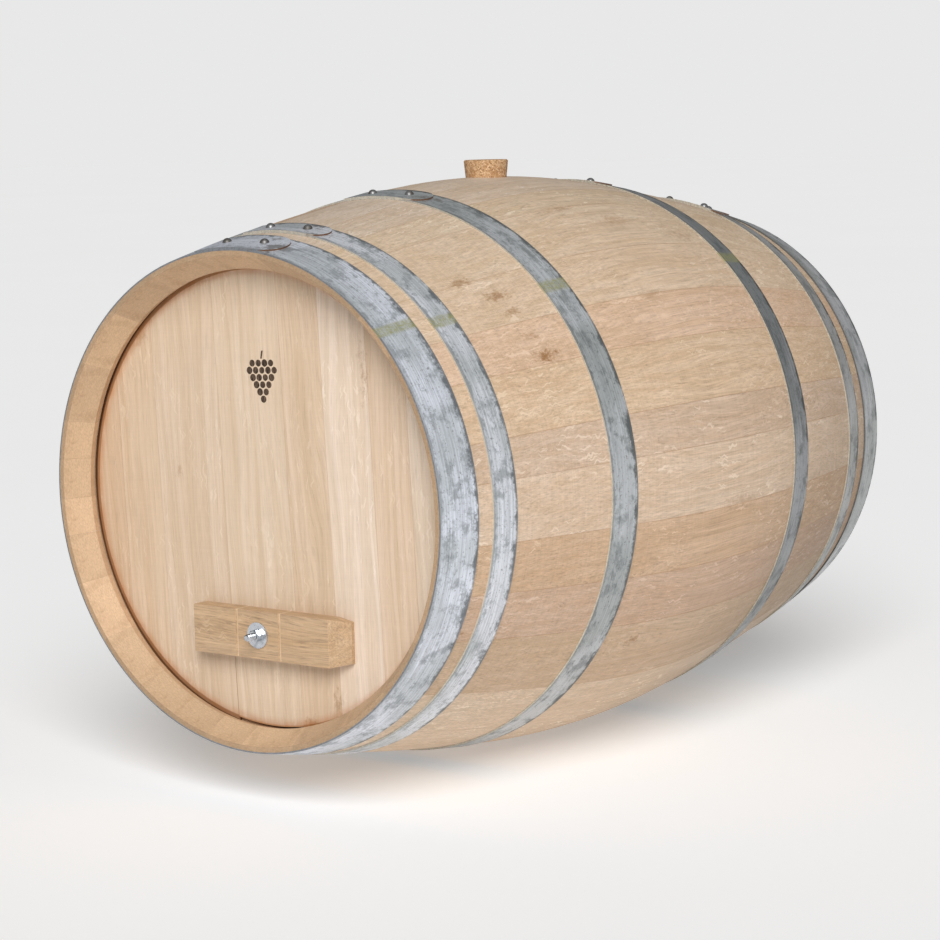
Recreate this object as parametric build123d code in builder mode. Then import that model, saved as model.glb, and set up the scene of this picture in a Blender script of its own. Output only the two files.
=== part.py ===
from build123d import *
import math
import os

# A 225 litre oak wine barrel lying on its side.
# The barrel's axis runs along Y, the head with the hatch faces -Y and the
# bung hole is on top, at +Z. The bilge touches Z = 0 under the origin.

# Staves
STAVE_LENGTH = 950.0
BILGE_RADIUS = 349.0            # outside of the wood at mid length
STAVE_THICKNESS = 28.0
MIDDLE_BEND_RADIUS = 1190.0     # bend of the staves over the middle
MIDDLE_BEND_HALF = 150.0        # half length of that middle bend
END_BEND_RADIUS = 3500.0        # gentler bend from there to the ends
STAVE_GAP = 0.12                # joint between neighbouring staves

# Widths of the staves at the bilge, the bung stave first, then clockwise
# as seen from the front. They are scaled to close the circle.
STAVE_WIDTHS = (97, 58, 49, 88, 73, 61, 79, 52, 79, 67, 67, 94, 97, 97,
                97, 67, 67, 73, 91, 91, 73, 55, 61, 58, 94, 100, 94, 109)

# Chime: the flat rim, the bevel inside it and the groove for the head
RIM_WIDTH = 5.5
BEVEL_DEPTH = 29.0
CROZE_START = 37.5
CROZE_FLOOR_START = 44.5
CROZE_END = 50.6
CROZE_RADIUS = 271.0

# Heads
HEAD_DEPTH = 43.0               # from the stave ends to the head's outer face
HEAD_THICKNESS = 22.0
HEAD_FACE_RADIUS = 260.5
HEAD_TONGUE_RADIUS = 270.8
HEAD_TONGUE_START = 46.5
HEAD_TONGUE_END = 50.3
HEAD_INNER_RADIUS = 265.5
BOARD_GAP = 0.1
FRONT_HEAD_TURN = 2.5           # degrees the front boards lean from vertical
REAR_HEAD_TURN = -4.0
FRONT_BOARD_JOINTS = (-220.0, -160.5, -61.5, 36.0, 95.0, 160.5, 213.0)
REAR_BOARD_JOINTS = (-196.0, -124.0, -52.0, 26.0, 100.0, 182.0)
DOWEL_DIAMETER = 8.0
DOWEL_LENGTH = 40.0
DOWEL_END_GAP = 0.2             # each dowel's hole is this much deeper
DOWEL_HEIGHTS = (80.0, -60.0)

# Hatch in the foot of the front head
HATCH_BOARD = 3                 # the board that the hatch is cut from
HATCH_TOP = -132.0              # from the barrel's axis
HATCH_BEVEL = 15.0              # degrees, so that it opens inwards
HATCH_GAP = 0.4
HATCH_RADIUS = 262.6
BOLT_X = 2.5
BOLT_HEIGHT = -153.5            # from the barrel's axis
BAR_LEFT = 97.5                 # from the bolt to the square end
BAR_FACE_RIGHT = 103.5          # from the bolt to the start of the slanted end
BAR_RIGHT = 124.0
BAR_HEIGHT = 55.0
BAR_THICKNESS = 22.0
BAR_END_THICKNESS = 5.0
BAR_END_HEIGHT = 47.0
BAR_NOTCH_SPACING = 64.0
BAR_NOTCH_WIDTH = 4.0
BAR_NOTCH_DEPTH = 3.0
BOLT_DIAMETER = 8.0
BOLT_TIP_DEPTH = 1.0            # the bolt's tip stops just inside the rim
BOLT_HEAD_DIAMETER = 20.0
BOLT_HEAD_HEIGHT = 5.0
BOLT_HEAD_ROUND = 4.0
BOLT_TIP_CHAMFER = 0.8
BOLT_NECK_LENGTH = 5.0
WASHER_DIAMETER = 30.0
WASHER_THICKNESS = 1.6
NUT_ACROSS_FLATS = 13.0
NUT_HEIGHT = 6.5
NUT_FACE_DIAMETER = 12.2        # flat ring inside the chamfered corners
NUT_CHAMFER = 0.75              # height of the corner chamfer
NUT_TURN = 10.0                 # degrees, as it stands when tight
FREE_GAP = 0.3                  # between pieces that move apart
THREAD_GAP = 0.05               # nut on bolt, radial

# Hoops: name, distance of the near edge from its end of the barrel, width,
# and the angle of the last lap rivet past the top
HOOP_THICKNESS = 1.8
HOOP_GAP = 0.05
HOOPS = (
    ("front_chime_hoop", -1, 0.0, 53.0, 5.3),
    ("front_quarter_hoop", -1, 74.5, 34.0, 6.6),
    ("front_bilge_hoop", -1, 256.5, 42.0, 5.9),
    ("rear_bilge_hoop", 1, 262.0, 42.0, 4.1),
    ("rear_quarter_hoop", 1, 80.0, 34.0, 14.9),
    ("rear_chime_hoop", 1, 0.0, 52.0, 8.0),
)
LAP_TIP = 30.0                  # from the last rivet to the tongue's tip
LAP_TAIL = 28.0                 # from the first rivet to the lap's start
RIVET_SPACING = 55.0
RIVET_DIAMETER = 5.0
RIVET_HEAD_DIAMETER = 11.0
RIVET_HEAD_HEIGHT = 4.4
LAP_TRIM_REACH = 15.0           # of the block that trims the tongue, each way

# Bung
BUNG_HOLE_RADIUS = 25.5         # where the hole meets the outside
BUNG_TAPER = 5.7                # degrees on the radius
BUNG_PROUD = 21.0
BUNG_LENGTH = 56.0
BUNG_CHAMFER = 1.5

END_Y = STAVE_LENGTH / 2
AXIS_HEIGHT = BILGE_RADIUS
CUT_MARGIN = 1.0                # how far cutting shapes pass a face
BARREL_AXIS = Axis((0, 0, AXIS_HEIGHT), (0, 1, 0))


def wood_radius(y):
    """Outside radius of the staves at a distance y from mid length."""
    past_middle = abs(y) - MIDDLE_BEND_HALF
    if past_middle <= 0:
        return BILGE_RADIUS - y * y / (2 * MIDDLE_BEND_RADIUS)
    middle_drop = MIDDLE_BEND_HALF ** 2 / (2 * MIDDLE_BEND_RADIUS)
    slope_drop = past_middle * MIDDLE_BEND_HALF / MIDDLE_BEND_RADIUS
    return BILGE_RADIUS - middle_drop - slope_drop - past_middle ** 2 / (2 * END_BEND_RADIUS)


def wood_slope(y):
    """Change of the outside radius along +Y."""
    bend = min(abs(y), MIDDLE_BEND_HALF) / MIDDLE_BEND_RADIUS
    bend += max(abs(y) - MIDDLE_BEND_HALF, 0) / END_BEND_RADIUS
    return -math.copysign(bend, y)


def section_plane(angle):
    """Plane through the barrel's axis: x is the radius, y runs along +Y.

    The angle is in degrees from the top, towards +X."""
    turn = math.radians(angle)
    return Plane(
        origin=(0, 0, AXIS_HEIGHT),
        x_dir=(math.sin(turn), 0, math.cos(turn)),
        z_dir=(-math.cos(turn), 0, math.sin(turn)),
    )


def surface_plane(angle, y, height):
    """Plane that lies on the staves, x running round them, z outwards."""
    turn = math.radians(angle)
    radius = wood_radius(y)
    normal = Vector(math.sin(turn), -wood_slope(y), math.cos(turn)).normalized()
    foot = Vector(radius * math.sin(turn), y, AXIS_HEIGHT + radius * math.cos(turn))
    return Plane(
        origin=foot + normal * height,
        x_dir=(math.cos(turn), 0, -math.sin(turn)),
        z_dir=normal,
    )


def head_plane(side, depth, turn=0.0):
    """Plane across the barrel, facing outwards at the front or rear end."""
    lean = math.radians(turn)
    return Plane(
        origin=(0, side * (END_Y - depth), AXIS_HEIGHT),
        x_dir=(-side * math.cos(lean), 0, math.sin(lean)),
        z_dir=(0, side, 0),
    )


def long_curve(y_from, y_to, offset):
    """Arc along the staves' bend, between two stations."""
    y_mid = (y_from + y_to) / 2
    stations = [(wood_radius(y) + offset, y) for y in (y_from, y_mid, y_to)]
    ThreePointArc(*stations)


def finish_piece(piece, name):
    """Name one piece and write its STEP file."""
    piece.part.label = name
    export_step(piece.part, f"parts/{name}.step")


os.makedirs("parts", exist_ok=True)

# --- Staves -----------------------------------------------------------------
# The section's outer and inner edges are each three arcs. At both ends comes
# the flat rim, the chime bevel and the croze, the groove that holds the head.


def stave_section():
    """Draws the section of a stave in the current line."""
    inner = -STAVE_THICKNESS
    croze_y = END_Y - CROZE_END
    long_curve(-END_Y, -MIDDLE_BEND_HALF, 0)
    long_curve(-MIDDLE_BEND_HALF, MIDDLE_BEND_HALF, 0)
    long_curve(MIDDLE_BEND_HALF, END_Y, 0)
    long_curve(-croze_y, -MIDDLE_BEND_HALF, inner)
    long_curve(-MIDDLE_BEND_HALF, MIDDLE_BEND_HALF, inner)
    long_curve(MIDDLE_BEND_HALF, croze_y, inner)
    for side in (-1, 1):
        bevel_y = END_Y - BEVEL_DEPTH
        mouth_y = END_Y - CROZE_START
        Polyline(
            (wood_radius(END_Y), side * END_Y),
            (wood_radius(END_Y) - RIM_WIDTH, side * END_Y),
            (wood_radius(bevel_y) + inner, side * bevel_y),
            (wood_radius(mouth_y) + inner, side * mouth_y),
            (CROZE_RADIUS, side * (END_Y - CROZE_FLOOR_START)),
            (CROZE_RADIUS, side * croze_y),
            (wood_radius(croze_y) + inner, side * croze_y),
        )


def bung_cone(clearance):
    """Corners of the bung's half section, grown by a clearance."""
    spread = math.tan(math.radians(BUNG_TAPER))
    top_z = AXIS_HEIGHT + BILGE_RADIUS + BUNG_PROUD
    foot_z = top_z - BUNG_LENGTH
    top_radius = BUNG_HOLE_RADIUS + clearance + BUNG_PROUD * spread
    foot_radius = top_radius - BUNG_LENGTH * spread
    return (0, foot_z), (foot_radius, foot_z), (top_radius, top_z), (0, top_z)


stave_angle = -180.0 * STAVE_WIDTHS[0] / sum(STAVE_WIDTHS)
gap_angle = math.degrees(STAVE_GAP / BILGE_RADIUS)
for number, width in enumerate(STAVE_WIDTHS):
    sweep_angle = 360.0 * width / sum(STAVE_WIDTHS)
    with BuildPart() as stave:
        with BuildSketch(section_plane(stave_angle + gap_angle / 2)):
            with BuildLine():
                stave_section()
            make_face()
        revolve(axis=BARREL_AXIS, revolution_arc=sweep_angle - gap_angle)
        if number == 0:
            with BuildSketch(Plane.XZ):
                with BuildLine():
                    Polyline(*bung_cone(FREE_GAP), close=True)
                make_face()
            revolve(axis=Axis.Z, mode=Mode.SUBTRACT)
    finish_piece(stave, f"stave_{number:02d}" if number else "bung_stave")
    stave_angle += sweep_angle

# --- Bung -------------------------------------------------------------------
with BuildPart() as bung:
    with BuildSketch(Plane.XZ) as bung_half:
        with BuildLine():
            Polyline(*bung_cone(0), close=True)
        make_face()
        chamfer(bung_half.vertices().sort_by(Axis.X)[-2:], length=BUNG_CHAMFER)
    revolve(axis=Axis.Z)
finish_piece(bung, "bung")

# --- Hoops ------------------------------------------------------------------
# Each hoop is a strip bent round the staves. Its outer end lies on its inner
# end as a rounded tongue, held by two rivets.


def band_section(y_from, y_to, lift):
    """Section of a steel strip that lies on the staves, lifted off them."""
    below = lift
    above = lift + HOOP_THICKNESS
    long_curve(y_from, y_to, below)
    long_curve(y_from, y_to, above)
    for y in (y_from, y_to):
        Line((wood_radius(y) + below, y), (wood_radius(y) + above, y))


rivet_planes = []
for name, side, edge_distance, hoop_width, rivet_angle in HOOPS:
    edge_y = side * (END_Y - edge_distance)
    other_y = edge_y - side * hoop_width
    middle_y = (edge_y + other_y) / 2
    y_from, y_to = sorted((edge_y, other_y))
    degrees_per_mm = math.degrees(1 / wood_radius(middle_y))
    first_rivet_angle = rivet_angle - RIVET_SPACING * degrees_per_mm
    lap_start = first_rivet_angle - LAP_TAIL * degrees_per_mm
    lap_length = LAP_TAIL + RIVET_SPACING + LAP_TIP
    lap_middle = lap_start + lap_length / 2 * degrees_per_mm

    with BuildPart() as lap:
        with BuildSketch(section_plane(lap_start)):
            with BuildLine():
                band_section(y_from, y_to, HOOP_GAP + HOOP_THICKNESS)
            make_face()
        revolve(axis=BARREL_AXIS, revolution_arc=lap_length * degrees_per_mm)
        with BuildSketch(surface_plane(lap_middle, middle_y, -LAP_TRIM_REACH)):
            Rectangle(lap_length, 2 * hoop_width)
            with Locations((lap_length / 2, 0)):
                Rectangle(hoop_width, 3 * hoop_width, mode=Mode.SUBTRACT)
            with Locations((lap_length / 2 - hoop_width / 2, 0)):
                Circle(hoop_width / 2)
        extrude(amount=2 * LAP_TRIM_REACH, mode=Mode.INTERSECT)

    with BuildPart() as hoop:
        with BuildSketch(section_plane(0)):
            with BuildLine():
                band_section(y_from, y_to, HOOP_GAP)
            make_face()
        revolve(axis=BARREL_AXIS)
        add(lap.part)
        for angle in (first_rivet_angle, rivet_angle):
            plane = surface_plane(angle, middle_y, HOOP_GAP + 2 * HOOP_THICKNESS)
            rivet_planes.append(plane)
            with Locations(plane):
                Hole(RIVET_DIAMETER / 2, depth=3 * HOOP_THICKNESS)
    finish_piece(hoop, name)

rivet_foot = -2 * HOOP_THICKNESS
with BuildPart() as hoop_rivets:
    for plane in rivet_planes:
        with BuildSketch(Plane(plane.origin, x_dir=plane.x_dir, z_dir=-plane.y_dir)):
            with BuildLine():
                Polyline(
                    (RIVET_HEAD_DIAMETER / 2, 0), (RIVET_DIAMETER / 2, 0),
                    (RIVET_DIAMETER / 2, rivet_foot), (0, rivet_foot), (0, RIVET_HEAD_HEIGHT),
                )
                TangentArc((0, RIVET_HEAD_HEIGHT), (RIVET_HEAD_DIAMETER / 2, 0), tangent=(1, 0))
            make_face()
        revolve(axis=Axis(plane.origin, plane.z_dir))
finish_piece(hoop_rivets, "hoop_rivets")

# --- Heads ------------------------------------------------------------------
# Each head is a row of boards, dowelled edge to edge. Its rim is bevelled
# outside and rebated inside to a tongue that sits in the croze.
HEAD_INNER_DEPTH = HEAD_DEPTH + HEAD_THICKNESS


def head_section(side):
    """Half section of a head, from the barrel's axis to the rim."""
    depths_and_radii = (
        (HEAD_DEPTH, 0),
        (HEAD_DEPTH, HEAD_FACE_RADIUS),
        (HEAD_TONGUE_START, HEAD_TONGUE_RADIUS),
        (HEAD_TONGUE_END, HEAD_TONGUE_RADIUS),
        (HEAD_TONGUE_END, HEAD_INNER_RADIUS),
        (HEAD_INNER_DEPTH, HEAD_INNER_RADIUS),
        (HEAD_INNER_DEPTH, 0),
    )
    corners = [(radius, side * (END_Y - depth)) for depth, radius in depths_and_radii]
    Polyline(*corners, close=True)


def hatch_prism(clearance):
    """Wedge-edged block that widens inwards: the hatch, or its opening."""
    low, high = FRONT_BOARD_JOINTS[HATCH_BOARD - 1:HATCH_BOARD + 1]
    inner_depth = HEAD_INNER_DEPTH + CUT_MARGIN
    outer_depth = HEAD_DEPTH - CUT_MARGIN
    grow = clearance + (inner_depth - HEAD_DEPTH) * math.tan(math.radians(HATCH_BEVEL))
    with BuildPart() as prism:
        with BuildSketch(head_plane(-1, inner_depth, FRONT_HEAD_TURN)):
            with Locations(((low + high) / 2, (HATCH_TOP - BILGE_RADIUS) / 2)):
                Rectangle(high - low + 2 * grow, HATCH_TOP + BILGE_RADIUS + 2 * grow)
        extrude(amount=inner_depth - outer_depth, taper=HATCH_BEVEL)
    return prism.part


hatch_opening = hatch_prism(HATCH_GAP)
hatch_block = hatch_prism(0.0)


def head_board(side, turn, joints, index, opening=None):
    """One board of a head, with the holes for its dowels."""
    edges = (-BILGE_RADIUS, *joints, BILGE_RADIUS)
    low, high = edges[index:index + 2]
    dowel_depth = HEAD_DEPTH + HEAD_THICKNESS / 2
    with BuildPart() as board:
        with BuildSketch(section_plane(0)):
            with BuildLine():
                head_section(side)
            make_face()
        revolve(axis=BARREL_AXIS)
        with BuildSketch(head_plane(side, 0, turn)):
            with Locations(((low + high) / 2, 0)):
                Rectangle(high - low - BOARD_GAP, 2 * BILGE_RADIUS)
        extrude(amount=-2 * HEAD_INNER_DEPTH, mode=Mode.INTERSECT)
        face = head_plane(side, dowel_depth, turn)
        for joint, inward in ((low, 1), (high, -1)):
            if joint not in joints:
                continue
            for height in DOWEL_HEIGHTS:
                mouth = face.from_local_coords((joint, height, 0))
                axis_plane = Plane(mouth, x_dir=(0, 1, 0), z_dir=face.x_dir * -inward)
                with Locations(axis_plane):
                    Hole(DOWEL_DIAMETER / 2, depth=DOWEL_LENGTH / 2 + DOWEL_END_GAP)
        if opening is not None:
            add(opening, mode=Mode.SUBTRACT)
    return board


def head_dowels(side, turn, joints):
    """The dowels between the boards of one head, as one group."""
    face = head_plane(side, HEAD_DEPTH + HEAD_THICKNESS / 2, turn)
    with BuildPart() as dowels:
        for joint in joints:
            for height in DOWEL_HEIGHTS:
                start = face.from_local_coords((joint - DOWEL_LENGTH / 2, height, 0))
                with BuildSketch(Plane(start, x_dir=(0, 1, 0), z_dir=face.x_dir)):
                    Circle(DOWEL_DIAMETER / 2)
                extrude(amount=DOWEL_LENGTH)
    return dowels


for index in range(len(FRONT_BOARD_JOINTS) + 1):
    by_hatch = abs(index - HATCH_BOARD) <= 1
    board = head_board(-1, FRONT_HEAD_TURN, FRONT_BOARD_JOINTS, index,
                       hatch_opening if by_hatch else None)
    finish_piece(board, f"front_head_board_{index + 1}")
for index in range(len(REAR_BOARD_JOINTS) + 1):
    board = head_board(1, REAR_HEAD_TURN, REAR_BOARD_JOINTS, index)
    finish_piece(board, f"rear_head_board_{index + 1}")
finish_piece(head_dowels(-1, FRONT_HEAD_TURN, FRONT_BOARD_JOINTS), "front_head_dowels")
finish_piece(head_dowels(1, REAR_HEAD_TURN, REAR_BOARD_JOINTS), "rear_head_dowels")

# --- Hatch and its bolt -----------------------------------------------------
# The hatch closes from inside against the slanted edges of its opening. Its
# foot clears the staves, so that it slides inwards past the croze.


def bolt_plane(depth):
    """Plane across the hatch bolt, facing outwards."""
    return Plane(
        origin=(BOLT_X, -(END_Y - depth), AXIS_HEIGHT + BOLT_HEIGHT),
        x_dir=(1, 0, 0),
        z_dir=(0, -1, 0),
    )


with BuildPart() as hatch:
    with BuildSketch(head_plane(-1, HEAD_INNER_DEPTH)):
        Circle(HATCH_RADIUS)
    extrude(amount=HEAD_THICKNESS - FREE_GAP)
    add(hatch_block, mode=Mode.INTERSECT)
    with Locations(bolt_plane(HEAD_DEPTH)):
        Hole(BOLT_DIAMETER / 2 + THREAD_GAP)
    with BuildSketch(bolt_plane(HEAD_INNER_DEPTH)):
        Rectangle(BOLT_DIAMETER + 2 * THREAD_GAP, BOLT_DIAMETER + 2 * THREAD_GAP)
    extrude(amount=BOLT_NECK_LENGTH, mode=Mode.SUBTRACT)
finish_piece(hatch, "hatch")

with BuildPart() as hatch_bolt:
    with BuildSketch(bolt_plane(HEAD_INNER_DEPTH + BOLT_HEAD_HEIGHT)):
        Circle(BOLT_HEAD_DIAMETER / 2)
    extrude(amount=BOLT_HEAD_HEIGHT)
    fillet(hatch_bolt.edges().filter_by(GeomType.CIRCLE).sort_by(Axis.Y)[-1],
           radius=BOLT_HEAD_ROUND)
    with BuildSketch(bolt_plane(HEAD_INNER_DEPTH)):
        Rectangle(BOLT_DIAMETER, BOLT_DIAMETER)
    extrude(amount=BOLT_NECK_LENGTH)
    with BuildSketch(bolt_plane(HEAD_INNER_DEPTH)):
        Circle(BOLT_DIAMETER / 2)
    extrude(amount=HEAD_INNER_DEPTH - BOLT_TIP_DEPTH)
    chamfer(hatch_bolt.edges().filter_by(GeomType.CIRCLE).sort_by(Axis.Y)[0],
            length=BOLT_TIP_CHAMFER)
finish_piece(hatch_bolt, "hatch_bolt")

with BuildPart() as hatch_bar:
    bar_foot = bolt_plane(HEAD_DEPTH).origin - Vector(0, 0, BAR_HEIGHT / 2)
    notch_x = BAR_NOTCH_SPACING / 2
    half_notch = BAR_NOTCH_WIDTH / 2
    notch_y = BAR_NOTCH_DEPTH - BAR_THICKNESS
    with BuildSketch(Plane(bar_foot)):
        with BuildLine():
            Polyline(
                (-BAR_LEFT, 0), (BAR_RIGHT, 0),
                (BAR_RIGHT, -BAR_END_THICKNESS), (BAR_FACE_RIGHT, -BAR_THICKNESS),
                (notch_x + half_notch, -BAR_THICKNESS), (notch_x, notch_y),
                (notch_x - half_notch, -BAR_THICKNESS), (half_notch - notch_x, -BAR_THICKNESS),
                (-notch_x, notch_y), (-notch_x - half_notch, -BAR_THICKNESS),
                (-BAR_LEFT, -BAR_THICKNESS),
                close=True,
            )
        make_face()
    extrude(amount=BAR_HEIGHT)
    with BuildSketch(bolt_plane(HEAD_DEPTH)):
        with BuildLine():
            Polyline(
                (-BAR_LEFT, -BAR_HEIGHT / 2), (BAR_FACE_RIGHT, -BAR_HEIGHT / 2),
                (BAR_RIGHT, -BAR_END_HEIGHT / 2), (BAR_RIGHT, BAR_END_HEIGHT / 2),
                (BAR_FACE_RIGHT, BAR_HEIGHT / 2), (-BAR_LEFT, BAR_HEIGHT / 2),
                close=True,
            )
        make_face()
    extrude(amount=BAR_THICKNESS, mode=Mode.INTERSECT)
    with Locations(bolt_plane(HEAD_DEPTH - BAR_THICKNESS)):
        Hole(BOLT_DIAMETER / 2 + FREE_GAP)
finish_piece(hatch_bar, "hatch_bar")

washer_depth = HEAD_DEPTH - BAR_THICKNESS
with BuildPart() as hatch_washer:
    with BuildSketch(bolt_plane(washer_depth)):
        Circle(WASHER_DIAMETER / 2)
        Circle(BOLT_DIAMETER / 2 + FREE_GAP, mode=Mode.SUBTRACT)
    extrude(amount=WASHER_THICKNESS)
finish_piece(hatch_washer, "hatch_washer")

nut_seat = bolt_plane(washer_depth - WASHER_THICKNESS - THREAD_GAP)
with BuildPart() as hatch_nut:
    with BuildSketch(nut_seat):
        RegularPolygon(NUT_ACROSS_FLATS / 2, 6, major_radius=False, rotation=NUT_TURN)
        Circle(BOLT_DIAMETER / 2 + THREAD_GAP, mode=Mode.SUBTRACT)
    extrude(amount=NUT_HEIGHT)
    corner_radius = NUT_ACROSS_FLATS / math.sqrt(3)
    with BuildSketch(Plane(nut_seat.origin, x_dir=nut_seat.x_dir, z_dir=-nut_seat.y_dir)):
        with BuildLine():
            Polyline(
                (0, 0), (NUT_FACE_DIAMETER / 2, 0),
                (corner_radius, NUT_CHAMFER), (corner_radius, NUT_HEIGHT - NUT_CHAMFER),
                (NUT_FACE_DIAMETER / 2, NUT_HEIGHT), (0, NUT_HEIGHT),
                close=True,
            )
        make_face()
    revolve(axis=Axis(nut_seat.origin, nut_seat.z_dir), mode=Mode.INTERSECT)
finish_piece(hatch_nut, "hatch_nut")
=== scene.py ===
import bmesh
import bpy
import math
import random
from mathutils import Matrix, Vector


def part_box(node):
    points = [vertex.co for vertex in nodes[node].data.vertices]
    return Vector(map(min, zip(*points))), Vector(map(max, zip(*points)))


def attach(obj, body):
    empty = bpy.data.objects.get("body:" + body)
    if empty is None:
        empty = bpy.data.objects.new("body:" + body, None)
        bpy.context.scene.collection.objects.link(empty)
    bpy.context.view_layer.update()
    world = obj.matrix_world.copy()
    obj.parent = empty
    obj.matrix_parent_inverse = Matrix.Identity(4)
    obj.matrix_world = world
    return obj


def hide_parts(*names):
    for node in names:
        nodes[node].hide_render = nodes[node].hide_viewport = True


# Looks for an oak barrel that lies along Y with its hatch at -Y. Lengths are
# in metres. Angles round the barrel are in degrees from the top towards +X.
# Tones are the colours that the surfaces show, in parts of 255.

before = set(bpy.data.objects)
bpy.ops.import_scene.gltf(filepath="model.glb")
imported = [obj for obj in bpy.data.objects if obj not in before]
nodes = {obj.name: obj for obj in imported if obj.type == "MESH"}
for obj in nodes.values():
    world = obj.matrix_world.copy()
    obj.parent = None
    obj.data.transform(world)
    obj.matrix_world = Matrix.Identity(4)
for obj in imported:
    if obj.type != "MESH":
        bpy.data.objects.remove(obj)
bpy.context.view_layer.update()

# --- Places, worked out from the frame ---------------------------------------
STAVE_NODES = sorted(name for name in nodes if "stave" in name)
HOOP_NODES = sorted(name for name in nodes if name.endswith("_hoop"))


def lowest(names):
    """Lowest point of some CAD nodes."""
    return min(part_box(name)[0].z for name in names)


def highest(names):
    """Highest point of some CAD nodes."""
    return max(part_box(name)[1].z for name in names)


AXIS_HEIGHT = (lowest(STAVE_NODES) + highest(STAVE_NODES)) / 2
BILGE_RADIUS = (highest(STAVE_NODES) - lowest(STAVE_NODES)) / 2
END_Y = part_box("bung_stave")[1].y
HEAD_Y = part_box("front_head_board_4")[0].y
BOLT = sum(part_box("hatch_bolt"), Vector()) / 2

# --- Staves -------------------------------------------------------------------
# Staves with a tone of their own; the others take one of OTHER_STAVE_TONES
STAVE_TONES = {
    "bung_stave": (224, 205, 184), "stave_01": (221, 201, 179),
    "stave_02": (221, 199, 172), "stave_03": (221, 198, 171),
    "stave_04": (221, 197, 170), "stave_05": (220, 190, 162),
    "stave_06": (219, 192, 162), "stave_07": (214, 189, 165),
    "stave_08": (222, 198, 173), "stave_09": (212, 181, 150),
    "stave_10": (209, 179, 153), "stave_11": (208, 181, 152),
}
OTHER_STAVE_TONES = ((218, 194, 166), (211, 184, 154), (221, 198, 172), (214, 187, 158))
STAIN = (150, 108, 66)
TOAST = (92, 60, 36)
RIM_TONE = (180, 151, 120)
BEVEL_TONE = (208, 176, 142)
BEVEL_REACH = 0.060             # how far in from the ends the bevel's tone goes
BEVEL_RADIUS = 0.278            # the bevel lies inside this radius
CHAR_RADIUS = 0.328             # toasted inside this radius at mid length, and inside
CHAR_BEND = 0.33                # a radius smaller by this times y squared elsewhere
CHAR_REACH = 0.066              # from the ends to where the toast stops, at the heads
EDGE_WIDTH = 0.0012             # darkened strip along a stave's joints

# Painted shade: the wood is darker low down at the rear, which turns away from
# the light; it starts and is full at the distances below, along the direction below
PAINTED_SHADE_DIRECTION = (0.25, 0.75, -0.60)
PAINTED_SHADE_START = 0.12
PAINTED_SHADE_FULL = 0.42
PAINTED_SHADE_FACTOR = 0.68

# Knots and stains on the staves: angle, y, half width, half length, strength
STAVE_STAINS = (
    (39.5, -0.322, 0.010, 0.020, 0.70), (45.0, -0.290, 0.010, 0.024, 0.70),
    (49.5, -0.285, 0.008, 0.020, 0.60), (55.5, -0.276, 0.008, 0.016, 0.45),
    (60.3, -0.270, 0.013, 0.026, 0.90), (61.0, -0.376, 0.008, 0.010, 0.60),
    (31.5, 0.010, 0.016, 0.036, 0.40), (37.5, 0.125, 0.014, 0.040, 0.35),
    (26.0, -0.060, 0.010, 0.030, 0.35), (52.0, -0.050, 0.009, 0.024, 0.30),
    (96.0, 0.030, 0.014, 0.050, 0.35), (116.5, -0.417, 0.004, 0.010, 0.80),
    (123.0, -0.120, 0.008, 0.014, 0.75), (71.5, 0.375, 0.003, 0.012, 0.50),
    (95.5, 0.455, 0.005, 0.008, 0.60), (100.0, -0.420, 0.006, 0.008, 0.60),
    (212.0, -0.150, 0.010, 0.024, 0.70), (268.0, 0.210, 0.009, 0.026, 0.70),
    (322.0, -0.060, 0.011, 0.024, 0.60), (300.0, 0.330, 0.007, 0.016, 0.60),
)
STAIN_MARGIN = 1.5              # degrees a stain may spread over a stave's edge

# --- Heads, hatch and bar -----------------------------------------------------
FRONT_HEAD_TONES = ((213, 186, 157), (217, 192, 164), (220, 198, 173), (222, 201, 176),
                    (220, 196, 169), (234, 215, 195), (224, 200, 174), (228, 209, 187))
REAR_HEAD_TONES = ((216, 192, 164), (221, 199, 172), (213, 187, 157), (224, 203, 178),
                   (219, 195, 168), (226, 206, 182), (215, 190, 161))
HATCH_BOARD = 4                 # the front board that the hatch is cut from
FRONT_HEAD_LEAN = 2.5           # degrees the grain leans from the vertical
REAR_HEAD_LEAN = 4.0
HEAD_RIM_BAND_RADII = (0.250, 0.262)    # patchy darkening near the rim starts and is full at these
HEAD_BEVEL_RADIUS = 0.2600      # the boards' faces are bevelled outside this
HEAD_CROZE_SHADOW_RADIUS = 0.2655     # and get a painted shadow of the croze outside this
HEAD_INNER_REACH = 0.065        # from the ends to the heads' inner faces
NO_JOINT = 1.0                  # a joint's place that lies beyond every board
# painted shadow in the croze round the heads' rims
CROZE_SHADOW_TONE = (104, 70, 42)

# Stains on the front head: across, height above the axis, then as above
HEAD_STAINS = (
    (0.155, 0.145, 0.007, 0.040, 0.45), (-0.178, 0.190, 0.016, 0.020, 0.35),
    (-0.090, 0.247, 0.022, 0.012, 0.35), (-0.130, 0.030, 0.006, 0.012, 0.35),
    (0.090, -0.230, 0.008, 0.022, 0.50), (0.049, -0.255, 0.014, 0.010, 0.60),
)
BAR_TONE = (198, 168, 134)
DOWEL_TONE = (206, 178, 146)
# painted highlight: the pale stripe along each saw notch in the bar
NOTCH_HIGHLIGHT_TONE = (236, 214, 182)
NOTCH_X = 0.032                 # from the bolt to each saw notch

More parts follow.
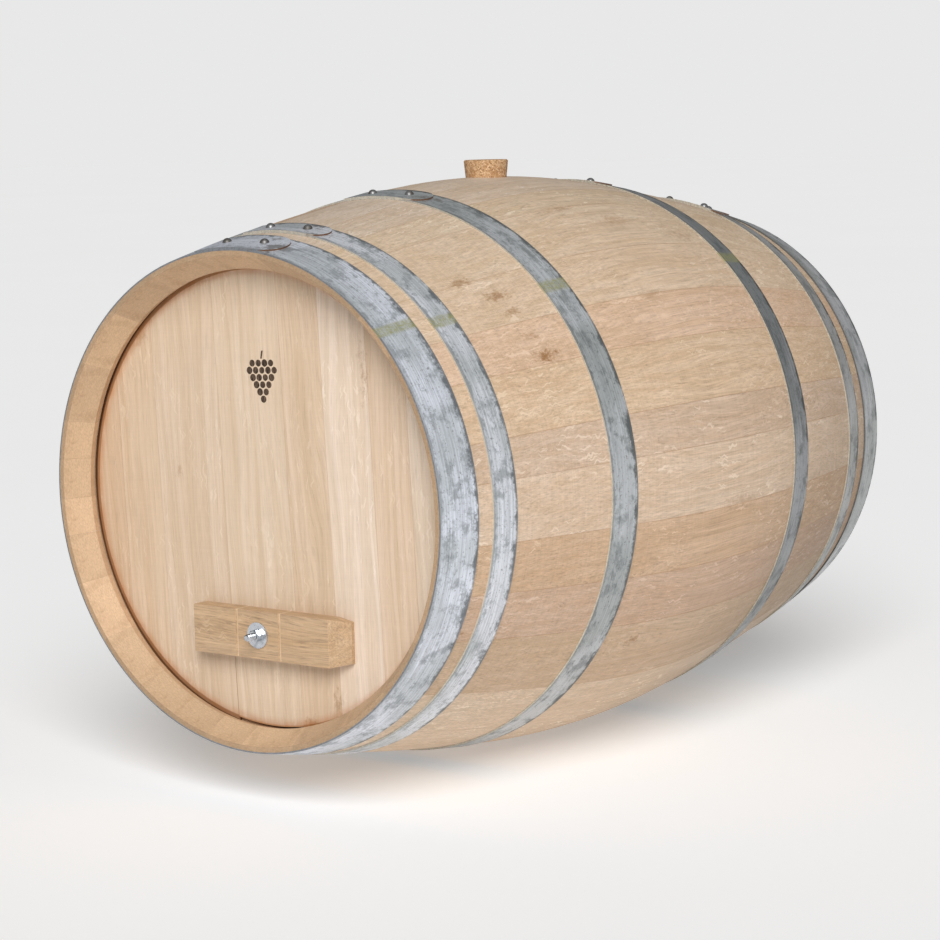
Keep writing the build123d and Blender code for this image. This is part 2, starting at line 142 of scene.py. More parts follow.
# --- Hoops --------------------------------------------------------------------
# Tone, crayon stripe's angle and lap's angle of each hoop
HOOP_LOOKS = {
    "front_chime_hoop": ((214, 218, 225), 46.0, 9.0),
    "front_quarter_hoop": ((211, 214, 218), 47.5, 10.0),
    "front_bilge_hoop": ((184, 187, 188), 46.0, 10.0),
    "rear_bilge_hoop": ((146, 148, 149), 44.0, 8.0),
    "rear_quarter_hoop": ((170, 170, 168), None, 19.0),
    "rear_chime_hoop": ((182, 184, 184), None, 12.0),
}
BRIGHT_EDGE = (216, 209, 192)   # front edges of the inner hoops, which catch the light
CRAYON = (158, 156, 98)
RUST = (104, 88, 80)
LAP_END_TONE = (112, 78, 54)
GIRTH_ZERO = 60.0               # degrees, where a hoop's girth is counted from

# --- Other materials ----------------------------------------------------------
CORK_PALE = (240, 204, 162)
CORK_MIDDLE = (206, 160, 114)
CORK_DARK = (140, 94, 60)
CORK_SEAM = (160, 112, 74)
CORK_GRAINS = 560.0             # granules per metre
RIVET_TONES = ((146, 146, 146), (92, 84, 76))
ZINC_TONES = ((216, 220, 226), (158, 162, 168))
BURNT_TONES = ((52, 42, 36), (112, 92, 76))
FLOOR_ALBEDOS = ((0.80, 0.80, 0.80, 1), (0.83, 0.83, 0.83, 1))
FLOOR_GLOW = 0.28
FLOOR_HALF = 30.0

# --- Pieces -------------------------------------------------------------------
THREAD_PITCH = 0.00125
THREAD_DEPTH = 0.00068
THREAD_FLANK = 2.4              # how steeply the thread's sides rise
THREAD_SIDES = 28
THREAD_STEPS = 8
BOLT_RADIUS = 0.004
BOLT_HEAD_HEIGHT = 0.005
BOLT_NECK_LENGTH = 0.005
BOLT_TIP_LENGTH = 0.001         # the tip narrows over this length
BOLT_TIP_DEPTH = 0.0008
HEAD_ROUND_STEPS = 8
HEAD_CROWN_RADIUS = 0.0001      # of the small flat on top of the domed head

MARK_CENTRE = (0.002, 0.140)    # across, and above the axis
MARK_DOT = 0.0043
MARK_ROWS = (4, 5, 4, 3, 2, 1)
MARK_TOP = 1.8                  # rows above the centre
MARK_PROUD = 0.00012
MARK_SIDES = 24
MARK_ACROSS = 2.15              # spacing of the dots, in dot radii
MARK_DOWN = 1.9
MARK_STALK_FOOT = 4.6
MARK_STALK = ((-0.0012, 0), (0.0012, 0), (0.0032, 0.009), (0.0008, 0.009))

# --- Light and camera ---------------------------------------------------------
KEY_DIRECTION = (0.43, -0.55, 0.50)
KEY_STRENGTH = 2.95
KEY_SOFTNESS = 35               # degrees
WORLD_LIGHT = 0.12              # what the surroundings shine on the barrel
WORLD_SEEN = 0.807              # what the camera sees behind it
CAMERA_PLACE = (2.0661, -2.7615, 0.7846)
CAMERA_TURN = (82.513, 1.282, 37.104)
CAMERA_LENS = 105.88
CAMERA_SENSOR = 36.0


def colour(tone):
    """A tone as the linear colour that shaders take."""
    parts = [part / 255 for part in tone]
    linear = [p / 12.92 if p <= 0.04045 else ((p + 0.055) / 1.055) ** 2.4 for p in parts]
    return (*linear, 1.0)


def scaled(tone, *factors):
    """A tone with each part multiplied by its own factor, or all by one."""
    if len(factors) == 1:
        factors *= len(tone)
    return tuple(part * factor for part, factor in zip(tone, factors))


class Graph:
    """Builds one material's shader nodes."""

    def __init__(self, name):
        self.material = bpy.data.materials.new(name)
        self.material.use_nodes = True
        self.tree = self.material.node_tree
        self.tree.nodes.clear()

    def add(self, kind, inputs=(), output=0, **settings):
        """Adds a node, links or sets its inputs, and gives one of its outputs."""
        node = self.tree.nodes.new(kind)
        for key, value in settings.items():
            setattr(node, key, value)
        for key, value in dict(inputs).items():
            if isinstance(value, bpy.types.NodeSocket):
                self.tree.links.new(value, node.inputs[key])
            elif node.inputs[key].type == "VECTOR":
                node.inputs[key].default_value = value[:3]
            else:
                node.inputs[key].default_value = value
        return node.outputs[output]

    def math(self, operation, *values, clamp=False):
        return self.add("ShaderNodeMath", enumerate(values), operation=operation, use_clamp=clamp)

    def vector(self, operation, first, second):
        return self.add("ShaderNodeVectorMath", {0: first, 1: second}, operation=operation)

    def dot(self, vector, direction):
        return self.add("ShaderNodeVectorMath", {0: vector, 1: direction}, output="Value",
                        operation="DOT_PRODUCT")

    def place(self):
        """The shaded point in the frame, measured from the barrel's axis."""
        point = self.add("ShaderNodeTexCoord", output="Object")
        return self.vector("SUBTRACT", point, (0, 0, AXIS_HEIGHT))

    def join(self, x, y, z):
        return self.add("ShaderNodeCombineXYZ", {0: x, 1: y, 2: z})

    def stretched(self, uvw, scales, shift=0.0):
        """Texture coordinates with their own scale each way."""
        spread = self.vector("MULTIPLY", uvw, scales)
        return self.vector("ADD", spread, (shift, shift * 1.7, shift * 2.3))

    def noise(self, vector, scale=1.0, detail=2.0, roughness=0.5):
        return self.add("ShaderNodeTexNoise", {"Vector": vector, "Scale": scale, "Detail": detail,
                                               "Roughness": roughness})

    def layer(self, uvw, layer, seed):
        """One of the layers of noise listed below."""
        scales, seed_step, detail, roughness = layer
        return self.noise(self.stretched(uvw, scales, seed + seed_step), detail=detail,
                          roughness=roughness)

    def step(self, value, low, high, start=0.0, end=1.0):
        """Goes smoothly from start at low to end at high."""
        return self.add("ShaderNodeMapRange", {"Value": value, "From Min": low, "From Max": high,
                                               "To Min": start, "To Max": end},
                        interpolation_type="SMOOTHSTEP")

    def mix(self, amount, first, second):
        """Blends two colours. Inputs 6 and 7 and output 2 are the node's colours."""
        return self.add("ShaderNodeMix", {0: amount, 6: first, 7: second}, output=2,
                        data_type="RGBA")

    def scale(self, base, amount):
        return self.add("ShaderNodeVectorMath", {0: base, "Scale": amount}, operation="SCALE")

    def bump(self, height, strength, distance):
        return self.add("ShaderNodeBump", {"Height": height, "Strength": strength,
                                           "Distance": distance})

    def finish(self, base, roughness, normal, metallic=0.0, specular=0.5, glow=0.0):
        """Joins the surface to the output and gives the material."""
        surface = self.add("ShaderNodeBsdfPrincipled", {
            "Base Color": base, "Roughness": roughness, "Normal": normal, "Metallic": metallic,
            "Specular IOR Level": specular, "Emission Color": (1, 1, 1, 1),
            "Emission Strength": glow})
        output = self.tree.nodes.new("ShaderNodeOutputMaterial")
        self.tree.links.new(surface, output.inputs["Surface"])
        return self.material


def span_of(node):
    """Middle angle and half width, in radians, of a stave's CAD node."""
    points = [(v.co.x, v.co.z - AXIS_HEIGHT) for v in nodes[node].data.vertices]
    middle = math.atan2(sum(x for x, z in points), sum(z for x, z in points))
    turned = [math.remainder(math.atan2(x, z) - middle, math.tau) for x, z in points]
    return middle + (max(turned) + min(turned)) / 2, (max(turned) - min(turned)) / 2


# Each coordinates function gives a graph's u, v and w: across the grain, along
# it, and into the surface.
def round_barrel(graph, middle):
    """Coordinates bent round the barrel: along its girth, along Y, and radius."""
    place = graph.place()
    across = graph.dot(place, (math.cos(middle), 0, -math.sin(middle)))
    outwards = graph.dot(place, (math.sin(middle), 0, math.cos(middle)))
    angle = graph.math("ARCTAN2", across, outwards)
    radius = graph.math("SQRT", graph.math("ADD", graph.math("MULTIPLY", across, across),
                                           graph.math("MULTIPLY", outwards, outwards)))
    girth = graph.math("MULTIPLY", angle, BILGE_RADIUS)
    return girth, graph.dot(place, (0, 1, 0)), radius


def head_coordinates(lean, depth_sign):
    """Coordinates of a head's boards, whose grain leans from the vertical."""
    turn = math.radians(lean)

    def build(graph):
        place = graph.place()
        across = graph.dot(place, (math.cos(turn), 0, math.sin(turn)))
        up = graph.dot(place, (-math.sin(turn), 0, math.cos(turn)))
        return across, up, graph.dot(place, (0, depth_sign, 0))
    return build


def bar_coordinates(graph):
    """Coordinates of the bar and the dowels, whose grain runs along X."""
    place = graph.place()
    return graph.dot(place, (0, 0, 1)), graph.dot(place, (1, 0, 0)), graph.dot(place, (0, 1, 0))


# Layers of noise: features per metre along u, v and w, then what is added to
# the seed, the detail and the roughness
OAK_DRIFT = ((14, 2.2, 14), 0, 2.0, 0.5)
OAK_CLOUDS = ((16, 5, 16), 3, 3.0, 0.5)
OAK_BANDS = ((130, 1.6, 130), 5, 4.0, 0.6)
OAK_FIBRES = ((620, 11, 620), 7, 4.0, 0.7)
OAK_PORES = ((1100, 45, 1100), 9, 2.0, 0.5)
OAK_PLANING = ((24, 620, 24), 10, 2.0, 0.5)
OAK_WAVES = ((60, 120, 60), 11, 1.0, 0.5)
OAK_RAYS = ((300, 44, 60), 13, 1.0, 0.5)
OAK_RAY_ZONES = ((14, 7, 14), 15, 2.0, 0.5)
SAW_MARKS = ((260, 900, 500), 4, 4.0, 0.7)
STAIN_EDGES = ((190, 110, 190), 0, 5.0, 0.75)
ZINC_PATCHES = ((34, 46, 34), 0, 8.0, 0.72)
ZINC_SPECKS = ((260, 300, 260), 2, 5.0, 0.75)
ZINC_STREAKS = ((9, 520, 9), 4, 4.0, 0.7)
ZINC_CLOUDS = ((7, 12, 7), 6, 3.0, 0.5)


def stains(graph, uvw, spots, base, seed):
    """Base with brown knots and stains at (u, v, half width, half length, strength)."""
    ragged = graph.layer(uvw, STAIN_EDGES, seed)
    for u, v, half_width, half_length, strength in spots:
        moved = graph.vector("SUBTRACT", uvw, (u, v, 0))
        shape = graph.vector("MULTIPLY", moved, (1 / half_width, 1 / half_length, 0))
        far = graph.add("ShaderNodeVectorMath", {0: shape}, output="Value", operation="LENGTH")
        reach = graph.math("ADD", far, graph.math("MULTIPLY", ragged, 4.2))
        amount = graph.step(reach, 1.9, 3.1, strength, 0.0)
        base = graph.mix(amount, base, colour(STAIN))
    return base


def oak(name, coordinates, tone, seed, spots=(), flecks=0.5, planing=1.0, fibre=1.0, after=None):
    """Planed oak. after(graph, base, u, v, w) may recolour it."""
    graph = Graph(name)
    u, v, w = coordinates(graph)
    uvw = graph.join(u, v, w)
    drift = graph.layer(uvw, OAK_DRIFT, seed)
    bent = graph.join(graph.math("ADD", u, graph.math("MULTIPLY", drift, 0.05)), v, w)
    clouds = graph.layer(uvw, OAK_CLOUDS, seed)
    bands = graph.layer(bent, OAK_BANDS, seed)
    fibres = graph.layer(bent, OAK_FIBRES, seed)
    pores = graph.step(graph.layer(bent, OAK_PORES, seed), 0.54, 0.68)
    planed = graph.layer(uvw, OAK_PLANING, seed)
    # pale wavy ray flecks, which come in zones
    wave = graph.layer(uvw, OAK_WAVES, seed)
    wavy = graph.join(graph.math("ADD", u, graph.math("MULTIPLY", wave, 0.012)), v, w)
    rays = graph.step(graph.layer(wavy, OAK_RAYS, seed), 0.60, 0.68)
    zones = graph.step(graph.layer(uvw, OAK_RAY_ZONES, seed), 0.42, 0.60)
    rays = graph.math("MULTIPLY", rays, zones)

    base = graph.mix(graph.step(bands, 0.34, 0.66, 0.0, 0.75),
                     colour(scaled(tone, 1.01, 1.01, 1.02)),
                     colour(scaled(tone, 0.94, 0.915, 0.88)))
    base = graph.mix(graph.step(clouds, 0.35, 0.70, 0.0, 0.30), base,
                     colour(scaled(tone, 0.94, 0.90, 0.85)))
    fibre_shade = graph.step(fibres, 0.30, 0.70, 1 - 0.14 * fibre, 1 + 0.10 * fibre)
    planed_shade = graph.step(planed, 0.30, 0.70, 1 - 0.045 * planing, 1 + 0.035 * planing)
    shade = graph.math("MULTIPLY", fibre_shade, planed_shade)
    shade = graph.math("SUBTRACT", shade, graph.math("MULTIPLY", pores, 0.15 * fibre))
    base = graph.scale(base, shade)
    base = graph.mix(graph.math("MULTIPLY", rays, flecks), base,
                     colour(scaled(tone, 1.10, 1.13, 1.17)))
    base = stains(graph, uvw, spots, base, seed)
    if after:
        base = after(graph, base, u, v, w)
    height = graph.math("SUBTRACT", fibres, graph.math("MULTIPLY", pores, 0.6))
    rough = graph.math("SUBTRACT", graph.step(fibres, 0.3, 0.7, 0.50, 0.64),
                       graph.math("MULTIPLY", rays, 0.12))
    return graph.finish(base, rough, graph.bump(height, 0.35, 0.0004), specular=0.3)


def stave_ends(half, brightness):
    """Adds a stave's painted shade low at the rear, dark edges, sawn rim and bevel, and toasted
    inside.
    """
    edge_u = half * BILGE_RADIUS

    def recolour(graph, base, u, v, w):
        reach = graph.math("ABSOLUTE", v)
        # painted shade: darker low down at the rear, which turns away from the light
        low_rear = graph.dot(graph.place(), PAINTED_SHADE_DIRECTION)
        base = graph.scale(base, graph.step(low_rear, PAINTED_SHADE_START, PAINTED_SHADE_FULL, 1.0, PAINTED_SHADE_FACTOR))
        edge = graph.step(graph.math("ABSOLUTE", u), edge_u - EDGE_WIDTH, edge_u - 0.0002,
                          0.0, 0.20)
        base = graph.mix(edge, base, colour(scaled(STAIN, 1.1, 1.05, 1.0)))

        # the rim is end grain, and the bevel inside it is sawn across the grain
        at_end = graph.step(reach, END_Y - BEVEL_REACH - 0.002, END_Y - BEVEL_REACH)
        inside = graph.step(w, BEVEL_RADIUS - 0.0005, BEVEL_RADIUS + 0.0005, 1.0, 0.0)
        bevel = graph.math("MULTIPLY", at_end, inside)
        rim = graph.step(reach, END_Y - 0.0006, END_Y - 0.0002)
        end_tone = graph.mix(rim, colour(scaled(BEVEL_TONE, brightness)),
                             colour(scaled(RIM_TONE, brightness)))
        sawn = graph.layer(graph.join(u, v, w), SAW_MARKS, 0.0)
        worn = graph.step(graph.noise(graph.join(u, v, w), 45.0, detail=4.0), 0.45, 0.75, 0.0, 0.5)
        end_tone = graph.mix(worn, end_tone, colour(scaled(BEVEL_TONE, 0.84, 0.80, 0.76)))
        end_tone = graph.scale(end_tone, graph.step(sawn, 0.25, 0.75, 0.80, 1.12))
        base = graph.mix(graph.math("MAXIMUM", bevel, rim, clamp=True), base, end_tone)

        bend = graph.math("MULTIPLY", graph.math("MULTIPLY", v, v), CHAR_BEND)
        wall = graph.math("ADD", bend, w)
        toast = graph.math("MULTIPLY",
                           graph.step(wall, CHAR_RADIUS - 0.002, CHAR_RADIUS + 0.002, 1.0, 0.0),
                           graph.step(reach, END_Y - CHAR_REACH - 0.002,
                                      END_Y - CHAR_REACH + 0.002, 1.0, 0.0))
        char = graph.scale(colour(TOAST), graph.step(sawn, 0.2, 0.8, 0.6, 1.2))
        return graph.mix(toast, base, char)
    return recolour


def board_edges(low, high):
    """Darkens a head board's joints, rim band and bevelled rim, paints the croze's shadow, toasts
    its inner face.
    """
    def recolour(graph, base, u, v, w):
        near = graph.math("MINIMUM", graph.math("SUBTRACT", u, low),
                          graph.math("SUBTRACT", high, u))
        base = graph.mix(graph.step(near, 0.0001, 0.0009, 0.16, 0.0), base, colour(STAIN))
        far = graph.math("SQRT", graph.math("ADD", graph.math("MULTIPLY", u, u),
                                            graph.math("MULTIPLY", v, v)))
        # a patchy band near the rim is darkened
        rim_band = graph.noise(graph.join(u, v, w), 60.0, detail=3.0)
        rim_band = graph.math("MULTIPLY", rim_band, graph.step(far, *HEAD_RIM_BAND_RADII, 0.0, 0.8))
        base = graph.mix(rim_band, base, colour(scaled(STAIN, 1.3, 1.15, 1.0)))
        bevel = graph.step(far, HEAD_BEVEL_RADIUS, HEAD_BEVEL_RADIUS + 0.0015, 0.0, 0.60)
        base = graph.mix(bevel, base, colour(scaled(STAIN, 1.18, 1.12, 1.05)))
        # painted shadow: the dark croze round the rim
        croze_shadow = graph.step(far, HEAD_CROZE_SHADOW_RADIUS, HEAD_CROZE_SHADOW_RADIUS + 0.0012, 0.0, 0.85)
        base = graph.mix(croze_shadow, base, colour(CROZE_SHADOW_TONE))
        inner = graph.step(graph.math("ABSOLUTE", w), END_Y - HEAD_INNER_REACH - 0.0005,
                           END_Y - HEAD_INNER_REACH + 0.0005, 0.75, 0.0)
        return graph.mix(inner, base, colour(TOAST))
    return recolour


def notch_highlights(graph, base, u, v, w):
    """Painted highlight: a pale stripe along the two saw notches across the bar."""
    from_bolt = graph.math("ABSOLUTE", graph.math("SUBTRACT", v, BOLT.x))
    off = graph.math("ABSOLUTE", graph.math("SUBTRACT", from_bolt, NOTCH_X))
    return graph.mix(graph.step(off, 0.0004, 0.0011, 0.7, 0.0), base, colour(NOTCH_HIGHLIGHT_TONE))


def along_girth(angle):
    """Place on a hoop's girth of an angle in degrees."""
    return math.radians(angle - GIRTH_ZERO) * BILGE_RADIUS


def hoop_walls(graph, base, specks, tone, edge_tone):
    """Front walls get edge_tone, rear walls painted shade, and the lap's end rust."""
    normal = graph.add("ShaderNodeNewGeometry", output="Normal")
    # painted highlight on the front walls of the inner hoops, in patches; the chime hoops' front
    # walls are darker
    front = graph.step(graph.dot(normal, (0, -1, 0)), 0.60, 0.85)
    front = graph.math("MULTIPLY", front, graph.step(specks, 0.35, 0.60, 0.95, 0.55))
    base = graph.mix(front, base, colour(edge_tone))
    # painted shade on the walls that face the rear
    rear = graph.step(graph.dot(normal, (0, 1, 0)), 0.60, 0.85)
    base = graph.mix(rear, base, colour(scaled(tone, 0.40)))
    run = graph.vector("CROSS_PRODUCT", (0, 1, 0), graph.place())
    run = graph.add("ShaderNodeVectorMath", {0: run}, operation="NORMALIZE")
    lap_end = graph.step(graph.dot(normal, run), 0.25, 0.55)
    return graph.mix(lap_end, base, colour(LAP_END_TONE))


def galvanised(name, tone, seed, low_y, high_y, stripe, lap, edge_tone):
    """Weathered zinc-coated strip with a crayon stripe and a rusty lap end."""
    graph = Graph(name)
    girth, along, out = round_barrel(graph, math.radians(GIRTH_ZERO))
    uvw = graph.join(girth, along, out)
    patches = graph.layer(uvw, ZINC_PATCHES, seed)
    specks = graph.layer(uvw, ZINC_SPECKS, seed)
    streaks = graph.layer(uvw, ZINC_STREAKS, seed)
    clouds = graph.layer(uvw, ZINC_CLOUDS, seed)
    base = graph.mix(graph.step(clouds, 0.44, 0.56, 0.0, 0.9),
                     colour(scaled(tone, 1.05, 1.05, 1.06)),
                     colour(scaled(tone, 0.93, 0.94, 0.935)))
    base = graph.mix(graph.step(patches, 0.48, 0.62, 0.0, 0.78), base,
                     colour(scaled(tone, 0.72, 0.735, 0.735)))
    base = graph.mix(graph.step(specks, 0.56, 0.66, 0.0, 0.70), base,
                     colour(scaled(tone, 0.52, 0.52, 0.51)))
    base = graph.scale(base, graph.step(streaks, 0.32, 0.68, 0.74, 1.10))

    # painted shade along both edges, in ragged patches, most at the rear edge
    ragged = graph.math("MULTIPLY", graph.math("SUBTRACT", patches, 0.5), 0.030)
    across = graph.math("ADD", along, ragged)
    base = graph.mix(graph.step(across, high_y - 0.0060, high_y - 0.0010, 0.0, 0.80), base,
                     colour(scaled(tone, 0.44, 0.45, 0.45)))
    base = graph.mix(graph.step(across, low_y + 0.0005, low_y + 0.0035, 0.55, 0.0), base,
                     colour(scaled(tone, 0.52, 0.53, 0.52)))
    base = hoop_walls(graph, base, specks, tone, edge_tone)
    if stripe:
        off = graph.math("ABSOLUTE", graph.math("SUBTRACT", girth, along_girth(stripe)))
        off = graph.math("ADD", off, graph.math("MULTIPLY", patches, 0.006))
        mark = graph.math("MULTIPLY", graph.step(off, 0.008, 0.014, 0.80, 0.0),
                          graph.step(specks, 0.38, 0.62, 1.0, 0.3))
        base = graph.mix(mark, base, colour(CRAYON))
    off = graph.math("ABSOLUTE", graph.math("SUBTRACT", girth, along_girth(lap)))
    rust = graph.math("MULTIPLY", graph.step(off, 0.004, 0.040, 0.5, 0.0),
                      graph.step(patches, 0.48, 0.62))
    base = graph.mix(rust, base, colour(RUST))
    rough = graph.step(patches, 0.35, 0.7, 0.36, 0.56)
    height = graph.math("ADD", patches, graph.math("MULTIPLY", streaks, 0.5))
    return graph.finish(base, rough, graph.bump(height, 0.3, 0.0004), metallic=0.25)


def cork(name):
    """Pressed cork granules."""
    graph = Graph(name)
    point = graph.place()
    stir = graph.add("ShaderNodeTexNoise", {"Vector": point, "Scale": 500.0}, output="Color")
    warped = graph.vector("ADD", point, graph.scale(stir, 0.002))
    grains = graph.add("ShaderNodeTexVoronoi", {"Vector": warped, "Scale": CORK_GRAINS},
                       output="Color")
    pick = graph.add("ShaderNodeSeparateColor", {0: grains}, output="Red")
    dark = graph.add("ShaderNodeSeparateColor", {0: grains}, output="Green")
    edge = graph.add("ShaderNodeTexVoronoi", {"Vector": warped, "Scale": CORK_GRAINS},
                     output="Distance", feature="DISTANCE_TO_EDGE")
    base = graph.mix(graph.step(pick, 0.1, 0.9), colour(CORK_MIDDLE), colour(CORK_PALE))
    base = graph.mix(graph.step(dark, 0.86, 0.90, 0.0, 0.7), base, colour(CORK_DARK))
    base = graph.mix(graph.step(edge, 0.02, 0.14, 0.55, 0.0), base, colour(CORK_SEAM))
    pits = graph.noise(point, 900.0, detail=3.0)
    base = graph.scale(base, graph.step(pits, 0.3, 0.7, 0.86, 1.08))
    height = graph.math("ADD", graph.step(edge, 0.0, 0.2), graph.math("MULTIPLY", pits, 0.5))
    return graph.finish(base, 0.85, graph.bump(height, 0.6, 0.0006), specular=0.2)


def steel(name, tones, roughness, metallic, grime):
    """Plated or bare steel with specks and dirty patches."""
    graph = Graph(name)
    point = graph.place()
    clean, dirty = tones
    specks = graph.noise(point, 900.0, detail=4.0, roughness=0.7)
    patches = graph.noise(point, 130.0, detail=4.0)
    base = graph.mix(graph.step(patches, 0.40, 0.68, 0.0, grime), colour(clean), colour(dirty))
    base = graph.scale(base, graph.step(specks, 0.3, 0.7, 0.86, 1.06))
    rough = graph.step(patches, 0.3, 0.7, roughness * 0.8, roughness * 1.3)
    return graph.finish(base, rough, graph.bump(specks, 0.2, 0.0002), metallic=metallic)


def burnt(name):
    """Wood scorched by a branding iron."""
    graph = Graph(name)
    ash = graph.noise(graph.stretched(graph.place(), (700, 700, 120)), detail=4.0, roughness=0.7)
    soot, ember = BURNT_TONES
    base = graph.mix(graph.step(ash, 0.35, 0.7), colour(soot), colour(ember))
    return graph.finish(base, 0.9, graph.bump(ash, 0.5, 0.0004), specular=0.2)


def pale_floor(name):
    """Matt floor that glows a little, so that its shadows stay soft."""
    graph = Graph(name)
    dark, light = FLOOR_ALBEDOS
    base = graph.mix(graph.noise(graph.place(), 1.5), dark, light)
    grain = graph.noise(graph.place(), 300.0)
    return graph.finish(base, 0.9, graph.bump(grain, 0.02, 0.0005), specular=0.1, glow=FLOOR_GLOW)


def paint(obj, material):
    """Puts one material on a whole object."""
    obj.data.materials.clear()
    obj.data.materials.append(material)


# --- Materials on the CAD nodes ----------------------------------------------
chance = random.Random(225)


def new_seed():
    """A random place in the noise, so that no two boards look the same."""
    return chance.uniform(0, 40)


def paint_stave(name):
    """Gives a stave its oak, with the stains that fall on it."""
    middle, half = span_of(name)
    tone = STAVE_TONES.get(name) or chance.choice(OTHER_STAVE_TONES)
    spots = []
    for angle, *rest in STAVE_STAINS:
        off = math.remainder(angle - math.degrees(middle), 360)
        if abs(off) < math.degrees(half) + STAIN_MARGIN:
            spots.append((math.radians(off) * BILGE_RADIUS, *rest))
    seed = new_seed()
    flecks = chance.uniform(0.35, 0.8)
    ends = stave_ends(half, brightness=chance.uniform(0.95, 1.04))
    paint(nodes[name], oak(f"oak_{name}", lambda graph: round_barrel(graph, middle), tone, seed,
                           spots, flecks, fibre=1.1, after=ends))


def paint_head(side, tones, lean, depth_sign, spots):
    """Gives the boards of one head, and the hatch in it, their oak."""
    turn = math.radians(lean)
    for number, tone in enumerate(tones, 1):
        name = f"{side}_head_board_{number}"
        spread = [v.co.x * math.cos(turn) + (v.co.z - AXIS_HEIGHT) * math.sin(turn)
                  for v in nodes[name].data.vertices]
        # the outer boards have a joint on one side only
        low = min(spread) if number > 1 else -NO_JOINT
        high = max(spread) if number < len(tones) else NO_JOINT
        material = oak(f"oak_{name}", head_coordinates(lean, depth_sign), tone, new_seed(),
                       spots, flecks=0.30, planing=0.3, fibre=0.55, after=board_edges(low, high))
        paint(nodes[name], material)
        if side == "front" and number == HATCH_BOARD:
            paint(nodes["hatch"], material)


for name in STAVE_NODES:
    paint_stave(name)
paint_head("front", FRONT_HEAD_TONES, FRONT_HEAD_LEAN, 1, HEAD_STAINS)
paint_head("rear", REAR_HEAD_TONES, REAR_HEAD_LEAN, -1, ())

paint(nodes["hatch_bar"], oak("oak_bar", bar_coordinates, BAR_TONE, 3.0, flecks=0.4, planing=0.4,
                              fibre=1.5, after=notch_highlights))
dowel_oak = oak("oak_dowels", bar_coordinates, DOWEL_TONE, 9.0)
for name in ("front_head_dowels", "rear_head_dowels"):
    paint(nodes[name], dowel_oak)

for name in HOOP_NODES:
    tone, stripe, lap = HOOP_LOOKS[name]
    low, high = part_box(name)
    # front walls: darker on the chime hoops, a painted highlight on the inner hoops
    edge_tone = scaled(tone, 0.5) if "chime" in name else BRIGHT_EDGE
    paint(nodes[name], galvanised(f"zinc_{name}", tone, new_seed(), low.y, high.y, stripe, lap,
                                  edge_tone))

paint(nodes["hoop_rivets"], steel("rivet_steel_look", RIVET_TONES, roughness=0.45,
                                   metallic=0.7, grime=0.8))
bright_zinc = steel("zinc_plate_look", ZINC_TONES, roughness=0.26, metallic=1.0, grime=0.6)
for name in ("hatch_nut", "hatch_washer"):
    paint(nodes[name], bright_zinc)
paint(nodes["bung"], cork("cork_look"))


def new_object(name, data):
    """A new object in the scene from its mesh, light or camera data."""
    obj = bpy.data.objects.new(name, data)
    bpy.context.collection.objects.link(obj)
    return obj


def mesh_data(name, mesh):
    """Turns a finished bmesh into mesh data with its faces looking outwards."""
    bmesh.ops.recalc_face_normals(mesh, faces=mesh.faces)
    data = bpy.data.meshes.new(name)
    mesh.to_mesh(data)
    mesh.free()
    return data


def bridge(mesh, first, second):
    """Joins two closed rings of corners with a band of faces."""
    for k in range(len(first)):
        after = (k + 1) % len(first)
        mesh.faces.new((first[k], first[after], second[after], second[k]))


# --- Hatch bolt with its real thread -----------------------------------------
def bolt_mesh():
    """A carriage bolt with a domed head, a square neck and a helical thread."""
    low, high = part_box("hatch_bolt")
    head_radius = (high.x - low.x) / 2
    tip_y = low.y
    head_y = high.y
    thread_y = head_y - BOLT_HEAD_HEIGHT - BOLT_NECK_LENGTH
    mesh = bmesh.new()

    def ring(y, radius_at):
        turns = (math.tau * k / THREAD_SIDES for k in range(THREAD_SIDES))
        return [mesh.verts.new((BOLT.x + radius_at(turn) * math.cos(turn), y,
                                BOLT.z + radius_at(turn) * math.sin(turn))) for turn in turns]

    def square(turn):
        return BOLT_RADIUS / max(abs(math.cos(turn)), abs(math.sin(turn)))

    rings = []
    for step in range(HEAD_ROUND_STEPS + 1):
        lift = math.pi / 2 * (1 - step / (HEAD_ROUND_STEPS + 0.5))
        y = head_y - BOLT_HEAD_HEIGHT * (1 - math.sin(lift))
        size = head_radius * math.cos(lift) + HEAD_CROWN_RADIUS
        rings.append(ring(y, lambda turn, size=size: size))
    rings.append(ring(head_y - BOLT_HEAD_HEIGHT, lambda turn: head_radius))
    rings.append(ring(head_y - BOLT_HEAD_HEIGHT, square))
    rings.append(ring(thread_y, square))
    count = int((thread_y - tip_y) / THREAD_PITCH * THREAD_STEPS)
    for step in range(count + 1):
        y = thread_y - (thread_y - tip_y) * step / count

        def threaded(turn, y=y):
            phase = (y / THREAD_PITCH + turn / math.tau) % 1
            crest = min(1.0, THREAD_FLANK * min(phase, 1 - phase))
            full = min(1.0, (y - tip_y) / BOLT_TIP_LENGTH)
            return BOLT_RADIUS - THREAD_DEPTH * (1 - crest) - (1 - full) * BOLT_TIP_DEPTH

        rings.append(ring(y, threaded))
    for first, second in zip(rings, rings[1:]):
        bridge(mesh, first, second)
    mesh.faces.new(reversed(rings[0]))
    mesh.faces.new(rings[-1])
    return mesh_data("threaded_bolt", mesh)


bolt = new_object("threaded_bolt", bolt_mesh())
paint(bolt, bright_zinc)
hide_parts("hatch_bolt")
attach(bolt, "hatch_leaf")


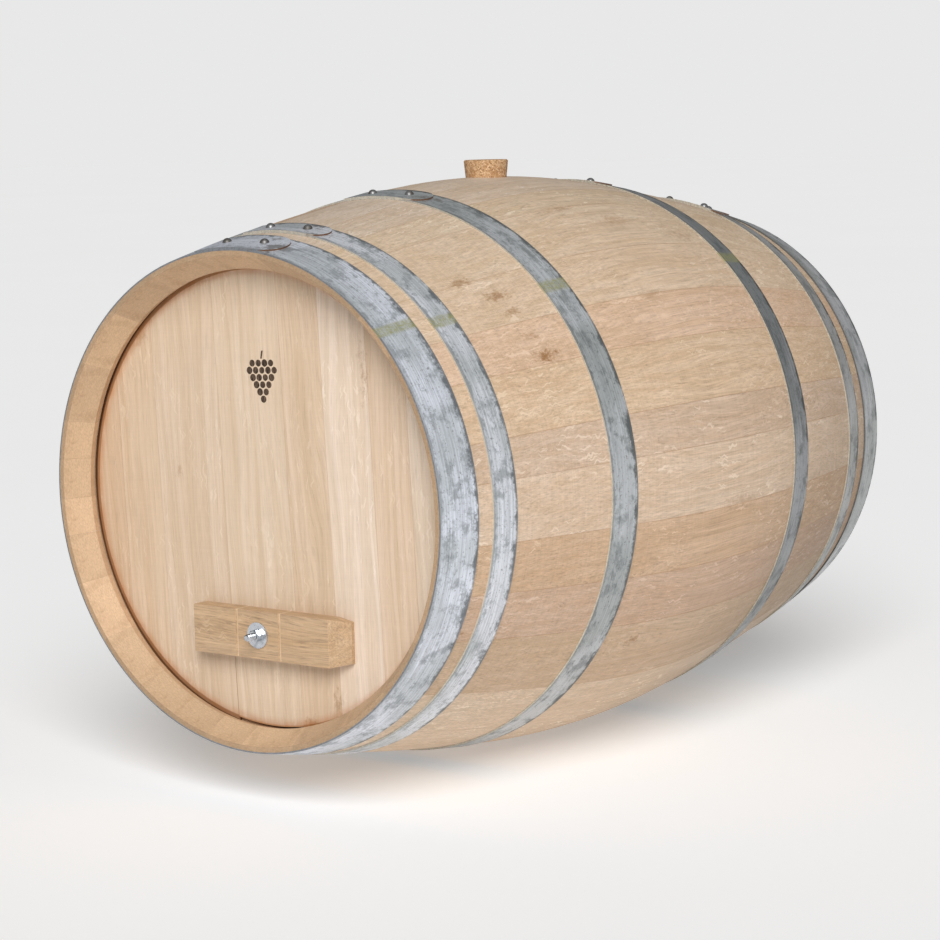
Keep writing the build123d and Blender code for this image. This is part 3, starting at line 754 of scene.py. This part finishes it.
# --- Burnt mark: a generic bunch of grapes ------------------------------------
def mark_mesh():
    """Flat scorched dots in the shape of a bunch of grapes, with a stalk."""
    mesh = bmesh.new()
    wobble = random.Random(7)
    lean = math.radians(FRONT_HEAD_LEAN)

    def patch(corners):
        rings = []
        for depth in (-MARK_PROUD, MARK_PROUD):
            rings.append([mesh.verts.new((
                MARK_CENTRE[0] + x * math.cos(lean) - z * math.sin(lean), HEAD_Y + depth,
                AXIS_HEIGHT + MARK_CENTRE[1] + x * math.sin(lean) + z * math.cos(lean)))
                for x, z in corners])
        front, back = rings
        mesh.faces.new(front)
        mesh.faces.new(reversed(back))
        bridge(mesh, back, front)

    for row, dots in enumerate(MARK_ROWS):
        for dot in range(dots):
            x = (dot - (dots - 1) / 2) * MARK_DOT * MARK_ACROSS
            z = (MARK_TOP - row) * MARK_DOT * MARK_DOWN
            size = MARK_DOT * wobble.uniform(0.88, 1.0)
            patch([(x + size * wobble.uniform(0.97, 1.02) * math.cos(math.tau * k / MARK_SIDES),
                    z + size * wobble.uniform(0.97, 1.02) * math.sin(math.tau * k / MARK_SIDES))
                   for k in range(MARK_SIDES)])
    patch([(x, MARK_DOT * MARK_STALK_FOOT + z) for x, z in MARK_STALK])
    return mesh_data("burnt_mark", mesh)


mark = new_object("burnt_mark", mark_mesh())
paint(mark, burnt("burnt_look"))
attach(mark, "barrel")

# --- Floor, light and camera ---------------------------------------------------
floor_data = bpy.data.meshes.new("floor")
floor_data.from_pydata([(-FLOOR_HALF, -FLOOR_HALF, 0), (FLOOR_HALF, -FLOOR_HALF, 0),
                        (FLOOR_HALF, FLOOR_HALF, 0), (-FLOOR_HALF, FLOOR_HALF, 0)],
                       [], [(0, 1, 2, 3)])
floor = new_object("floor", floor_data)
paint(floor, pale_floor("floor_look"))

key_data = bpy.data.lights.new("key", "SUN")
key_data.energy = KEY_STRENGTH
key_data.angle = math.radians(KEY_SOFTNESS)
key = new_object("key", key_data)
key.rotation_euler = Vector(KEY_DIRECTION).to_track_quat("Z", "Y").to_euler()

world = bpy.data.worlds.new("studio")
world.use_nodes = True
background = world.node_tree.nodes["Background"]
background.inputs["Color"].default_value = (1, 1, 1, 1)
seen = world.node_tree.nodes.new("ShaderNodeLightPath").outputs["Is Camera Ray"]
strength = world.node_tree.nodes.new("ShaderNodeMapRange")
strength.inputs["To Min"].default_value = WORLD_LIGHT
strength.inputs["To Max"].default_value = WORLD_SEEN
world.node_tree.links.new(seen, strength.inputs["Value"])
world.node_tree.links.new(strength.outputs["Result"], background.inputs["Strength"])
bpy.context.scene.world = world
bpy.context.scene.view_settings.view_transform = "Standard"

camera_data = bpy.data.cameras.new("camera")
camera_data.lens = CAMERA_LENS
camera_data.sensor_width = CAMERA_SENSOR
camera = new_object("camera", camera_data)
camera.location = CAMERA_PLACE
camera.rotation_euler = [math.radians(turn) for turn in CAMERA_TURN]
bpy.context.scene.camera = camera
